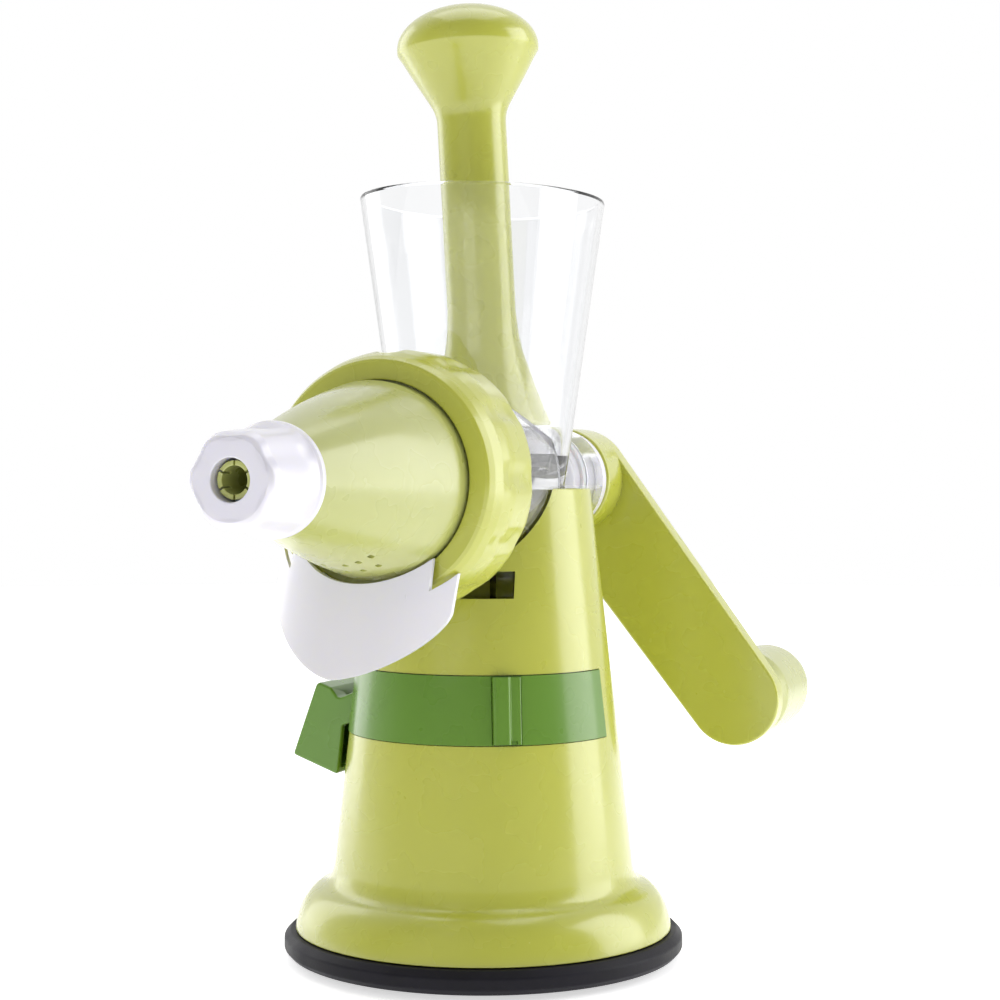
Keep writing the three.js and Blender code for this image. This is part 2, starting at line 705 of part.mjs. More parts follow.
function crankKnob() {
  const near = -ARM_FACE - ARM_T - 1.6;
  const far = near - KNOB_LENGTH;
  const nose = arc(5, 0, KNOB_R - 5, 15, 0, 80, 4).map(([r, z]) => [r, far + 15 - z]);
  return alongKnob(turned([
    [4 + GAP, near], [12, near], [15, near - 2], [KNOB_R, near - 10], ...nose, [7, far], [7, -157.6],
    [4 + GAP, -157.6],
  ], 28));
}

function knobCap() {
  const far = -ARM_FACE - ARM_T - 1.6 - KNOB_LENGTH;
  return alongKnob(disc(6.7, far + 0.1, -162, 24));
}

// ---- pusher ----
const PUSHER_LEAN = 3;           // degrees, towards the barrel's nose and -X
const PUSHER_LEAN_HEADING = 22;  // the lean's heading, from -X towards -Y

function leaned(geometry) {
  const up = new THREE.Vector3(0, 0, 1);
  const axis = new THREE.Vector3(0, -1, 0).applyAxisAngle(up, radians(PUSHER_LEAN_HEADING));
  return geometry.clone()
    .translate(0, 0, -PUSHER_FOOT_Z)
    .applyMatrix4(new THREE.Matrix4().makeRotationAxis(axis, radians(PUSHER_LEAN)))
    .translate(1.4, 0.5, PUSHER_FOOT_Z);
}

// Squeezes the round foot to an oval that follows the hopper's throat.
function footOval(geometry) {
  const positions = geometry.attributes.position;
  for (let i = 0; i < positions.count; i += 1) {
    const share = Math.min(1, Math.max(0, (PUSHER_FOOT_Z + 43 - positions.getZ(i)) / 43));
    positions.setX(i, positions.getX(i) * (1 - 0.13 * share));
    positions.setY(i, positions.getY(i) * (1 + 0.08 * share));
  }
  return clean(geometry);
}

// A cylinder round the barrel's axis, which hollows the foot.
function saddle(radius) {
  return alongBarrel(disc(radius, -60, 60, 48));
}

function pusher() {
  const foot = PUSHER_FOOT_Z;
  const shaft = PUSHER_SHAFT_R;
  const crown = arc(0, PUSHER_TOP_Z - 15.5, PUSHER_KNOB_R, 15.5, -12, 86, 6);
  const outer = [
    [25.6, foot], [25.9, foot + 1], [25, foot + 3.4], [22.6, foot + 8], [19.8, foot + 14.4],
    [17.4, foot + 21], [15.2, foot + 27], [13.6, foot + 34], [shaft, foot + 43], [shaft, 305],
    [shaft + 1, 308.5], ...crown,
  ];
  const inner = [
    [0, PUSHER_TOP_Z - 3], [12, PUSHER_TOP_Z - 4.5], [21, 331], [shaft - 2.4, 308], [shaft - 2.4, foot + 42],
    [14.8, foot + 22], [19.6, foot + 9], [23.2, foot + 3.2], [23.2, foot],
  ];
  return cut(leaned(footOval(turned([...outer, [0, PUSHER_TOP_Z], ...inner], 32))), saddle(FOOT_SADDLE_R));
}

// The curved plate that closes the foot, over the auger's barrel.
function pusherEndPlate() {
  const foot = PUSHER_FOOT_Z;
  const inside = leaned(footOval(turned([
    [0, foot + 0.4], [22.8, foot + 0.4], [22.8, foot + 3.2], [19.2, foot + 9], [14.4, foot + 22],
    [0, foot + 22],
  ], 32)));
  const above = cut(block(-40, 40, -40, 40, AXIS_Z, foot + 40), saddle(FOOT_SADDLE_R + 2.6));
  return cut(inside, above, saddle(FOOT_SADDLE_R + GAP));
}

// ---- assembly ----
add('suction_pad', suctionPad(), BLACK);
add('base_plate', basePlate(), LIME);
screwPlaces().forEach(([x, y], i) => add(`base_screw_${i + 1}`, moved(baseScrew(), x, y, 0), STEEL));
add('column_shell', columnShell(), LIME);
add('green_band', greenBand(), GREEN);
add('band_clip', bandClip(), GREEN);
add('barrel_rest', barrelRest(), LIME);
add('lift_rod', liftRod(), STEEL);
add('spring_washer', springWasher(), STEEL);
add('return_spring', returnSpring(), STEEL);
add('crosshead', crosshead(), STEEL);
add('rod_nut', rodNut(), STEEL);
add('lever_bracket', leverBracket(), WHITE);
add('lever_pin', leverPin(), STEEL);
add('pin_clip_front', pinClip(1), STEEL);
add('pin_clip_rear', pinClip(-1), STEEL);
add('suction_lever', lever(), GREEN);
add('hopper_barrel', hopperBarrel(), CLEAR);
add('rear_bush', rearBush(), WHITE);
add('shaft_seal', shaftSeal(), SILICONE);
add('front_seal', frontSeal(), SILICONE);
add('lock_ring', lockRing(), LIME);
add('juice_spout', juiceSpout(), WHITE);
add('nose_cone', noseCone(), LIME);
add('outlet_nut', outletNut(), WHITE);
add('nut_washer', nutWasher(), SILICONE);
add('strainer', strainer(), STEEL);
add('auger', auger(), WHITE);
add('drive_shaft', driveShaft(), STEEL);
add('crank_arm', crankArm(), LIME);
add('crank_insert', crankInsert(), STEEL);
add('crank_screw', crankScrew(), STEEL);
add('crank_cap', crankCap(), LIME);
add('knob_spindle', knobSpindle(), STEEL);
add('knob_washer', knobWasher(), STEEL);
add('knob_screw', knobScrew(), STEEL);
add('crank_knob', crankKnob(), LIME);
add('knob_cap', knobCap(), LIME);
add('pusher', pusher(), LIME);
add('pusher_end_plate', pusherEndPlate(), LIME);

export default group;
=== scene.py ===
"""Looks of a hand-cranked screw juicer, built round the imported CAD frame.

Blender works in metres; sizes below are in millimetres and go through MM. +Z is up, the nose points
to -Y, and the barrel's own coordinates are (across, up, forward) about its axis.
"""
import json
import math
from math import radians

import bmesh
import bpy
from mathutils import Matrix, Vector


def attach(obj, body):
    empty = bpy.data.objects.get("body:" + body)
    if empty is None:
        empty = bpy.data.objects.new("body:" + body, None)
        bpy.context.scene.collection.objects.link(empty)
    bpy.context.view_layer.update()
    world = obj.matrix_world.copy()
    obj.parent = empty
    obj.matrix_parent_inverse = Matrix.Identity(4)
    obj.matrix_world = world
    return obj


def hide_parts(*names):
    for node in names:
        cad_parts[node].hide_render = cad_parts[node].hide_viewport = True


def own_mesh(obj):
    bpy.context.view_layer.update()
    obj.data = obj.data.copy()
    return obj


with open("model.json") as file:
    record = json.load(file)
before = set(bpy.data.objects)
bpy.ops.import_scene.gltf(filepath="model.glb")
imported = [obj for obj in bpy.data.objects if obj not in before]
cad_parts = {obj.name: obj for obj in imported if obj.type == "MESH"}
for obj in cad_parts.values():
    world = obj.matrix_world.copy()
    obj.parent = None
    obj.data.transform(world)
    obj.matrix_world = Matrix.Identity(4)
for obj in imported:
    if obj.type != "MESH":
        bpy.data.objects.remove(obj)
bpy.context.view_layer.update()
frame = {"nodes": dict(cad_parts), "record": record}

MM = 0.001
AXIS_Z = 173.0                    # height of the barrel's axis
YAW = 22.0                        # the camera stands this many degrees to the nose's +X side

# Sizes that the pieces share, in millimetres and degrees.
COLUMN_BASE_R, COLUMN_BASE_Z = 54.4, 32.0
COLUMN_TOP_R, COLUMN_TOP_Z = 39.0, 170.0
WALL = 2.4
BAND_Z0, BAND_Z1, BAND_DEPTH = 81.8, 106.0, 1.6
BAND_END_Y = -4.0                 # the band stops just in front of the column's side
CLIP_ANGLE, CLIP_W = 32.0, 10.0
WINDOW_Z0, WINDOW_Z1, WINDOW_HALF_ANGLE = 132.0, 141.4, 37.5
RING_TURN = 7.3                   # the ring and its spout stand turned by this many degrees
SCALLOPS, SCALLOP_DEPTH = 12, 1.25
CONE_START, CONE_END = 97.0, 160.0
CONE_START_R, CONE_END_R, CONE_SWELL, CONE_WALL = 32.1, 14.9, 1.3, 2.0
NUT_LOBES, LOBE_DEPTH = 6, 1.2
ARM_LENGTH, ARM_ANGLE = 110.0, 37.5
ARM_BACK, ARM_FRONT = -106.5, -97.5
PIN_X, PIN_Z = -37.0, 92.0        # the lever's pin
PUSHER_LEAN, PUSHER_HEADING = 3.0, -68.0

ROUND = 192                       # facets of the largest turned pieces


# ---- mesh helpers ----
def column_radius(z):
    """Outer radius of the column at height z."""
    slope = (COLUMN_BASE_R - COLUMN_TOP_R) / (COLUMN_TOP_Z - COLUMN_BASE_Z)
    return COLUMN_BASE_R - slope * (z - COLUMN_BASE_Z)


def new_object(name, mesh):
    obj = bpy.data.objects.new(name, mesh)
    bpy.context.scene.collection.objects.link(obj)
    return obj


def object_from(name, build):
    """An object whose mesh is what build(bm) makes, in millimetres, with its faces turned outwards."""
    bm = bmesh.new()
    build(bm)
    bmesh.ops.remove_doubles(bm, verts=bm.verts, dist=1e-4)
    bmesh.ops.recalc_face_normals(bm, faces=bm.faces)
    bmesh.ops.scale(bm, vec=Vector((MM, MM, MM)), verts=bm.verts)
    mesh = bpy.data.meshes.new(name)
    bm.to_mesh(mesh)
    bm.free()
    return new_object(name, mesh)


def arc(centre, radii, start, end, steps):
    """Points on an ellipse's arc, from start to end in degrees."""
    points = []
    for i in range(steps + 1):
        angle = radians(start + (end - start) * i / steps)
        points.append((centre[0] + radii[0] * math.cos(angle), centre[1] + radii[1] * math.sin(angle)))
    return points


def rounded(points, steps=4):
    """A closed outline with round corners; each point is (x, y) or (x, y, corner radius)."""
    result = []
    count = len(points)
    for i, point in enumerate(points):
        here = Vector(point[:2])
        radius = point[2] if len(point) > 2 else 0
        before = Vector(points[i - 1][:2]) - here
        after = Vector(points[(i + 1) % count][:2]) - here
        if radius <= 0 or before.length < 1e-6 or after.length < 1e-6:
            result.append(tuple(here))
            continue
        half = before.angle(after) / 2
        reach = min(radius / max(math.tan(half), 1e-6), before.length * 0.49, after.length * 0.49)
        first = here + before.normalized() * reach
        last = here + after.normalized() * reach
        for k in range(steps + 1):
            t = k / steps
            result.append(tuple((1 - t) ** 2 * first + 2 * t * (1 - t) * here + t ** 2 * last))
    return result


def curve_through(points, steps=6):
    """A smooth line through the given points (Catmull-Rom)."""
    ends = [points[0], *points, points[-1]]
    result = []
    for i in range(1, len(ends) - 2):
        p0, p1, p2, p3 = (Vector(p) for p in ends[i - 1:i + 3])
        for k in range(steps):
            t = k / steps
            result.append(tuple(0.5 * (2 * p1 + (p2 - p0) * t + (2 * p0 - 5 * p1 + 4 * p2 - p3) * t ** 2
                                       + (3 * p1 - p0 - 3 * p2 + p3) * t ** 3)))
    result.append(tuple(points[-1]))
    return result


def lathe(bm, outline, segments=128, shape=None):
    """Turns a closed outline of (radius, height) about Z. shape(r, angle, z) may move a point."""
    rings = []
    for r, z in outline:
        if r < 1e-6:
            rings.append([bm.verts.new((0, 0, z))])
            continue
        ring = []
        for i in range(segments):
            angle = 2 * math.pi * i / segments
            radius = shape(r, angle, z) if shape else r
            ring.append(bm.verts.new((radius * math.cos(angle), radius * math.sin(angle), z)))
        rings.append(ring)
    for a, b in zip(rings, rings[1:] + rings[:1]):
        if len(a) == 1 and len(b) == 1:
            continue
        for i in range(segments):
            j = (i + 1) % segments
            if len(a) == 1:
                bm.faces.new((a[0], b[i], b[j]))
            elif len(b) == 1:
                bm.faces.new((a[i], b[0], a[j]))
            else:
                bm.faces.new((a[i], b[i], b[j], a[j]))


def skin(bm, rings):
    """Joins rings of equal length into a closed tube with flat ends."""
    for a, b in zip(rings, rings[1:]):
        for i in range(len(a)):
            j = (i + 1) % len(a)
            bm.faces.new((a[i], a[j], b[j], b[i]))
    bm.faces.new(rings[0])
    bm.faces.new(rings[-1])


def turned(name, outline, segments=128, shape=None):
    return object_from(name, lambda bm: lathe(bm, outline, segments, shape))


def disc(name, radius, z0, z1, segments=96):
    return turned(name, [(0, z0), (radius, z0), (radius, z1), (0, z1)], segments)


def block(name, low, high):
    """A box between two corners."""
    def build(bm):
        bmesh.ops.create_cube(bm, size=1)
        for vert in bm.verts:
            vert.co = Vector([low[k] + (vert.co[k] + 0.5) * (high[k] - low[k]) for k in range(3)])
    return object_from(name, build)


def prism(name, outline, z0, z1):
    """An outline in XY pushed along Z."""
    def build(bm):
        low = [bm.verts.new((x, y, z0)) for x, y in outline]
        high = [bm.verts.new((x, y, z1)) for x, y in outline]
        bm.faces.new(low)
        bm.faces.new(high)
        for i in range(len(outline)):
            j = (i + 1) % len(outline)
            bm.faces.new((low[i], low[j], high[j], high[i]))
    return object_from(name, build)


def place(obj, matrix):
    obj.data.transform(matrix)
    return obj


def shift(obj, x, y, z):
    return place(obj, Matrix.Translation((x * MM, y * MM, z * MM)))


def spin(obj, degrees, axis="Z"):
    return place(obj, Matrix.Rotation(radians(degrees), 4, axis))


def along_barrel(obj):
    """From (across, up, forward) about the barrel's axis to the row frame."""
    return place(obj, Matrix.Translation((0, 0, AXIS_Z * MM)) @ Matrix.Rotation(radians(90), 4, "X"))


def bake(obj):
    """Applies the object's modifiers to its mesh."""
    graph = bpy.context.evaluated_depsgraph_get()
    mesh = bpy.data.meshes.new_from_object(obj.evaluated_get(graph))
    obj.modifiers.clear()
    obj.data = mesh
    return obj


def combine(obj, others, operation):
    """Joins or cuts the piece with the others, which are used up."""
    for other in others:
        step = obj.modifiers.new("combine", "BOOLEAN")
        step.operation = operation
        step.solver = "MANIFOLD"
        step.object = other
    bake(obj)
    for other in others:
        bpy.data.objects.remove(other)
    return obj


def cut(obj, *tools):
    return combine(obj, tools, "DIFFERENCE")


def join(obj, *others):
    return combine(obj, others, "UNION")


def soften(obj, width, segments=3, angle=32):
    """Rounds the edges that cuts leave sharp."""
    step = obj.modifiers.new("soften", "BEVEL")
    step.width = width * MM
    step.segments = segments
    step.limit_method = "ANGLE"
    step.angle_limit = radians(angle)
    step.harden_normals = False
    return bake(obj)


def smooth(obj, angle=38):
    """Shades the piece smooth, with its large faces keeping their own direction."""
    obj.data.shade_smooth()
    obj.data.set_sharp_from_angle(angle=radians(angle))
    step = obj.modifiers.new("even_normals", "WEIGHTED_NORMAL")
    step.keep_sharp = True
    return bake(obj)


# ---- material helpers ----
def link(tree, source, target):
    tree.links.new(source, target)


def shader(name, colour, roughness):
    """A new material with its node tree and its principled shader."""
    material = bpy.data.materials.new(name)
    material.use_nodes = True
    material.diffuse_color = (*colour, 1)
    tree = material.node_tree
    principled = tree.nodes["Principled BSDF"]
    principled.inputs["Base Color"].default_value = (*colour, 1)
    principled.inputs["Roughness"].default_value = roughness
    return material, tree, principled


def noise(tree, scale, detail=3.0, stretch=(1, 1, 1)):
    """A noise in the piece's own coordinates, in metres."""
    place_node = tree.nodes.new("ShaderNodeTexCoord")
    mapping = tree.nodes.new("ShaderNodeMapping")
    mapping.inputs["Scale"].default_value = stretch
    texture = tree.nodes.new("ShaderNodeTexNoise")
    texture.inputs["Scale"].default_value = scale
    texture.inputs["Detail"].default_value = detail
    link(tree, place_node.outputs["Object"], mapping.inputs["Vector"])
    link(tree, mapping.outputs["Vector"], texture.inputs["Vector"])
    return texture.outputs["Fac"]


def spread(tree, value, low, high):
    """The noise value stretched to run from low to high."""
    node = tree.nodes.new("ShaderNodeMapRange")
    node.interpolation_type = "SMOOTHSTEP"
    node.inputs["From Min"].default_value = 0.25
    node.inputs["From Max"].default_value = 0.75
    node.inputs["To Min"].default_value = low
    node.inputs["To Max"].default_value = high
    link(tree, value, node.inputs["Value"])
    return node.outputs["Result"]


def two_tone(tree, value, colour_a, colour_b):
    """A colour that goes from colour_a to colour_b with the noise value."""
    ramp = tree.nodes.new("ShaderNodeValToRGB")
    ramp.color_ramp.interpolation = "EASE"
    ramp.color_ramp.elements[0].position = 0.3
    ramp.color_ramp.elements[1].position = 0.7
    ramp.color_ramp.elements[0].color = (*colour_a, 1)
    ramp.color_ramp.elements[1].color = (*colour_b, 1)
    link(tree, value, ramp.inputs["Fac"])
    return ramp.outputs["Color"]


def relief(tree, principled, parts):
    """Adds up bump from (value, strength) pairs, for a relief of at most 0.2 mm."""
    normal = None
    for value, strength in parts:
        bump = tree.nodes.new("ShaderNodeBump")
        bump.inputs["Strength"].default_value = strength
        bump.inputs["Distance"].default_value = 0.2 * MM
        link(tree, value, bump.inputs["Height"])
        if normal is not None:
            link(tree, normal, bump.inputs["Normal"])
        normal = bump.outputs["Normal"]
    link(tree, normal, principled.inputs["Normal"])


def scaled(colour, factor):
    return tuple(channel * factor for channel in colour)


def plastic(name, colour, roughness=0.28, subsurface=0.0, coat=0.5, specular=0.9):
    """Glossy moulded plastic: faint flow marks, uneven gloss and a very fine grain."""
    fleck = 0.006                 # how far the flow marks stand from the colour
    material, tree, principled = shader(name, colour, roughness)
    flow = noise(tree, 26, 4, (1, 1, 0.35))
    shades = two_tone(tree, flow, scaled(colour, 1 - fleck), scaled(colour, 1 + fleck))
    link(tree, shades, principled.inputs["Base Color"])
    rubbed = noise(tree, 70, 2)
    link(tree, spread(tree, rubbed, roughness - 0.02, roughness + 0.03), principled.inputs["Roughness"])
    relief(tree, principled, [(noise(tree, 1800, 1), 0.01), (noise(tree, 55, 1), 0.008)])
    principled.inputs["IOR"].default_value = 1.5
    principled.inputs["Specular IOR Level"].default_value = specular
    principled.inputs["Subsurface Weight"].default_value = subsurface
    principled.inputs["Subsurface Radius"].default_value = (1.0, 0.9, 0.35)
    principled.inputs["Subsurface Scale"].default_value = 0.004
    principled.inputs["Coat Weight"].default_value = coat
    principled.inputs["Coat Roughness"].default_value = 0.12
    return material


def clear_plastic():
    """Clear polished acrylic with faint waves and a light haze of fine wear."""
    material, tree, principled = shader("clear_plastic", (0.935, 0.94, 0.948), 0.03)
    link(tree, spread(tree, noise(tree, 40, 5), 0.012, 0.06), principled.inputs["Roughness"])
    relief(tree, principled, [(noise(tree, 34, 2, (1, 1, 0.3)), 0.02)])
    principled.inputs["Transmission Weight"].default_value = 1.0
    principled.inputs["IOR"].default_value = 1.42
    return material


def rubber():
    """Black rubber with a dull, dusty bloom and a fine pebble."""
    material, tree, principled = shader("black_rubber", (0.013, 0.012, 0.018), 0.5)
    bloom = noise(tree, 60, 5)
    link(tree, two_tone(tree, bloom, (0.006, 0.0055, 0.009), (0.012, 0.011, 0.017)),
         principled.inputs["Base Color"])
    link(tree, spread(tree, bloom, 0.42, 0.6), principled.inputs["Roughness"])
    relief(tree, principled, [(noise(tree, 1500, 3), 0.25)])
    principled.inputs["Specular IOR Level"].default_value = 0.2
    return material


def steel():
    """Turned steel with a fine brushed grain."""
    material, tree, principled = shader("steel", (0.62, 0.63, 0.66), 0.3)
    principled.inputs["Metallic"].default_value = 1.0
    grain = noise(tree, 900, 3, (0.15, 1, 1))
    link(tree, spread(tree, grain, 0.2, 0.38), principled.inputs["Roughness"])
    relief(tree, principled, [(grain, 0.12)])
    return material


def silicone():
    """Soft milky silicone."""
    material, tree, principled = shader("silicone", (0.78, 0.78, 0.8), 0.5)
    link(tree, spread(tree, noise(tree, 120, 3), 0.42, 0.58), principled.inputs["Roughness"])
    relief(tree, principled, [(noise(tree, 900, 2), 0.1)])
    principled.inputs["Subsurface Weight"].default_value = 0.3
    principled.inputs["Subsurface Scale"].default_value = 0.003
    return material


LIME = (0.47, 0.49, 0.055)
PALE_LIME = (0.44, 0.465, 0.15)
GREEN = (0.115, 0.25, 0.02)
WHITE = (0.74, 0.725, 0.80)

MATERIALS = {
    "lime_plastic": plastic("lime_plastic", LIME, 0.27, 0.12),
    "pale_lime": plastic("pale_lime_plastic", PALE_LIME, 0.27, 0.25, 0.4, 0.7),
    "green_plastic": plastic("green_plastic", GREEN, 0.28, 0.05, 0.3, 0.55),
    "white_plastic": plastic("white_plastic", WHITE, 0.33, 0.25),
    "clear_plastic": clear_plastic(),
    "black_rubber": rubber(),
    "silicone": silicone(),
    "steel": steel(),
}


def finish_piece(obj, body, slot, nodes, material=None, angle=38):
    """Puts a finished piece on its body, in place of its CAD nodes."""
    smooth(obj, angle)
    obj.data.materials.clear()
    obj.data.materials.append(MATERIALS[material or slot])
    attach(obj, body)
    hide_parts(*nodes)
    return obj


# ---- column and base ----
def column():
    """The tapered shell with its flared foot, cut for the band, barrel, window and lever."""
    flare = arc((56.6, 8), (11.9, 18.8), 11, 76, 14)
    outline = rounded([
        (65.6, 10.9), (68.35, 10.9, 0.6), *flare, (57.4, 27.2), (56.1, 28.6), (55.15, 30.4),
        (COLUMN_BASE_R, 33.5), (COLUMN_TOP_R, COLUMN_TOP_Z, 0.8),
        (COLUMN_TOP_R - WALL, COLUMN_TOP_Z, 0.6), (COLUMN_BASE_R - WALL, 33), (56, 24), (62.5, 18),
    ])
    obj = turned("column", outline, ROUND)
    groove = turned("groove", [
        (column_radius(BAND_Z0) - BAND_DEPTH, BAND_Z0), (80, BAND_Z0), (80, BAND_Z1),
        (column_radius(BAND_Z1) - BAND_DEPTH, BAND_Z1),
    ], ROUND)
    cut(groove, band_rear(0))
    front = along_barrel(disc("front_saddle", 34.2, 0, 60, 160))
    rear = along_barrel(disc("rear_saddle", 21.6, -60, 0, 128))
    reach = column_radius(WINDOW_Z1) * math.sin(radians(WINDOW_HALF_ANGLE))
    window = block("window", (-reach, -60, WINDOW_Z0), (reach, -28, WINDOW_Z1))
    cut(obj, groove, front, rear, window, lever_slot())
    soften(obj, 0.45, 2)
    return finish_piece(obj, "stand", "lime_plastic", ["column_shell"])


def lever_slot():
    """The opening in the column's side that the lever's hub passes through."""
    return block("lever_slot", (-62, -15.6, 81), (-36, 15.6, 103.6))


def band_rear(gap):
    """The part of the column's girth that the band leaves plain."""
    return block("band_rear", (-90, BAND_END_Y - gap, BAND_Z0 - 5), (90, 90, BAND_Z1 + 5))


def on_band(obj):
    """Leans a piece drawn on the plane Y = 0 against the column's face, at the clip's angle."""
    lean = math.atan((column_radius(BAND_Z0) - column_radius(BAND_Z1)) / (BAND_Z1 - BAND_Z0))
    shift(obj, 0, 0, -BAND_Z0)
    spin(obj, -math.degrees(lean), "X")
    shift(obj, 0, -column_radius(BAND_Z0), BAND_Z0)
    return spin(obj, CLIP_ANGLE)


def band():
    """The green band in its groove, standing a little proud of the column."""
    gap, proud = 0.3, 0.45

    def inside(z):
        return column_radius(z) - BAND_DEPTH + gap
    obj = turned("green_band_skin", [
        (inside(BAND_Z0), BAND_Z0 + gap), (column_radius(BAND_Z0) + proud, BAND_Z0 + gap),
        (column_radius(BAND_Z1) + proud, BAND_Z1 - gap), (inside(BAND_Z1), BAND_Z1 - gap),
    ], ROUND)
    half = CLIP_W / 2 + 0.25
    seat = on_band(block("seat", (-half, -8, BAND_Z0 - 1), (half, 0.5, BAND_Z1 + 1)))
    cut(obj, seat, lever_slot(), band_rear(gap))
    soften(obj, 0.3, 2)
    return finish_piece(obj, "stand", "green_plastic", ["green_band"])


def band_clip():
    """The clip on the band: a round bead beside a flat tab, notched at its foot."""
    half = CLIP_W / 2
    obj = prism("band_clip_bar", rounded([
        (-half, 0.2), (-half, -3, 2.6), (0.6, -3, 2.6), (1.4, -1.5, 0.5), (half, -1.5, 0.8), (half, 0.2),
    ], 8), BAND_Z0 + 0.6, BAND_Z1 - 0.6)
    cut(obj, block("notch", (1.3, -4, BAND_Z0), (3.5, 0, BAND_Z0 + 1.9)))
    soften(obj, 0.3, 3, 50)
    return finish_piece(on_band(obj), "stand", "green_plastic", ["band_clip"])


def suction_pad():
    """The rubber pad, with its rim under the foot and a socket for the lift rod."""
    outline = rounded([
        (0, 0), (61, 0, 2), (70.6, 2.4, 2), (72.45, 4.4, 1.2), (72.45, 8.2, 1.4), (70.1, 10.55, 1.2),
        (63, 10.55, 0.8), (60, 3, 1.5), (14.5, 3), (14.5, 10.4, 0.8), (4.4, 10.4), (4.4, 7.2), (12.3, 7.2),
        (12.3, 4.1), (0, 4.1),
    ])
    obj = turned("rubber_pad", outline, ROUND)
    return finish_piece(obj, "stand", "black_rubber", ["suction_pad"])


# ---- suction lever ----
def lever():
    """The flip paddle with its recess, the hub on the pin and the cam."""
    tilt = radians(20)
    pin_radius, hub_radius, half_width = 2.1, 5.6, 15
    down = Vector((-math.sin(tilt), -math.cos(tilt)))
    inward = Vector((math.cos(tilt), -math.sin(tilt)))
    top = Vector((-60.6, 98.6))

    def spot(along, across):
        return tuple(top + down * along + inward * across)

    def standing(name, outline, half):
        return spin(prism(name, outline, -half, half), 90, "X")

    outline = rounded([
        (*top, 2.2), (*spot(29.4, 0), 1.2), (*spot(29.4, 19.6), 1.2), (-50.2, 82.6, 1), (-44, 84.6, 2),
        (PIN_X, PIN_Z - 5.6), (PIN_X + 1, PIN_Z + 5.2), (-41, PIN_Z + 5), (-52, PIN_Z + 0.5, 2),
        (-55, PIN_Z + 4.4, 1),
    ])
    obj = standing("flip_lever", outline, half_width)
    soften(obj, 0.9, 3, 50)
    recess = standing("recess", [spot(6, 2.6), spot(27, 2.6), spot(27, 26), spot(6, 26)], 12.6)
    cut(obj, block("throat", (-53.5, -7.2, 60), (-20, 7.2, 110)), recess)
    hub = disc("hub", hub_radius, -half_width, half_width, 64)
    cam = prism("cam", cam_outline(), -4.5, 4.5)
    for part in (hub, cam):
        shift(spin(part, 90, "X"), PIN_X, 0, PIN_Z)
    join(obj, hub, cam)
    hole = disc("pin_hole", pin_radius, -half_width - 1, half_width + 1, 32)
    cut(obj, shift(spin(hole, 90, "X"), PIN_X, 0, PIN_Z))
    return finish_piece(obj, "lever", "green_plastic", ["suction_lever"])


def cam_outline():
    """The involute that lifts its flat follower by 4.4 mm for each radian."""
    start, rate, sweep, steps = 6.5, 4.4, 62, 16
    points = [(0, start)]
    for i in range(steps + 1):
        turn = radians(sweep) * i / steps
        height = start + rate * turn
        points.append((-rate * math.cos(turn) - height * math.sin(turn),
                       height * math.cos(turn) - rate * math.sin(turn)))
    return points + [(-4, -4), (4, -4), (4, 3)]


# ---- clear hopper and barrel ----
HOPPER_BASE = (29.2, 36.2, 173.0)
MOUTH = (43.2, 52.8, 275.0)
HOPPER_WALL = 2.2


def oval_at(z, inset=0.0):
    """The hopper's oval section at height z, drawn in by inset."""
    t = (z - HOPPER_BASE[2]) / (MOUTH[2] - HOPPER_BASE[2])
    return (HOPPER_BASE[0] + (MOUTH[0] - HOPPER_BASE[0]) * t - inset,
            HOPPER_BASE[1] + (MOUTH[1] - HOPPER_BASE[1]) * t - inset, z)


def oval(name, levels, segments=144):
    """An upright solid with oval sections of (half-width, half-length, height)."""
    def build(bm):
        rings = []
        for rx, ry, z in levels:
            rings.append([bm.verts.new((rx * math.cos(a), ry * math.sin(a), z))
                          for a in (2 * math.pi * i / segments for i in range(segments))])
        skin(bm, rings)
    return object_from(name, build)


def hopper():
    """The clear moulding: hopper, barrel, shroud, foot and snap plate, hollowed out."""
    rim = MOUTH[2]
    outside = [(8, 12, 152.8), (14, 19, 153.4), (19, 25, 155), (23, 29.5, 157.6), (26, 32.5, 161),
               (28, 34.8, 166), HOPPER_BASE, oval_at(205), oval_at(240), oval_at(rim - 0.8),
               oval_at(rim - 0.2, 0.25), oval_at(rim, 0.8)]
    inside = [(11, 26, 171), (14, 28.4, 172.2), (17, 30, 174.5), (22, 31.8, 177.6),
              oval_at(182, HOPPER_WALL), oval_at(205, HOPPER_WALL), oval_at(240, HOPPER_WALL),
              oval_at(rim - 0.8, HOPPER_WALL), oval_at(rim + 1, HOPPER_WALL - 1.2)]
    obj = oval("clear_hopper_barrel", outside)
    barrel = along_barrel(turned("barrel", rounded([
        (0, -73.8), (20.8, -73.8, 0.8), (20.8, 36.8, 1.0), (33.6, 36.8, 0.7), (33.6, 39.2, 0.7),
        (21.8, 39.2, 1.5), (21.8, 60, 2), (36.6, 63, 0.8), (36.6, 84, 0.6), (0, 84),
    ]), 144))
    shroud = along_barrel(turned("shroud", [(31.2, 10), (33.6, 10), (33.6, 38), (31.2, 38)], 144))
    foot = block("foot", (-17, -31.5, 123), (17, 22, 156))
    snap = block("snap", (-24, -31.5, 126), (24, -29, 143))
    join(foot, snap)
    cut(foot, block("hollow", (-14.6, -28.8, 122), (14.6, 19.6, 148)))
    join(obj, barrel, shroud, foot)
    bore = along_barrel(disc("bore", 17, -58, 90, 128))
    seat = along_barrel(disc("seat", 10.3, -80, -50, 96))
    cut(obj, oval("throat", inside), bore, seat)
    return finish_piece(obj, "stand", "clear_plastic", ["hopper_barrel"], angle=30)


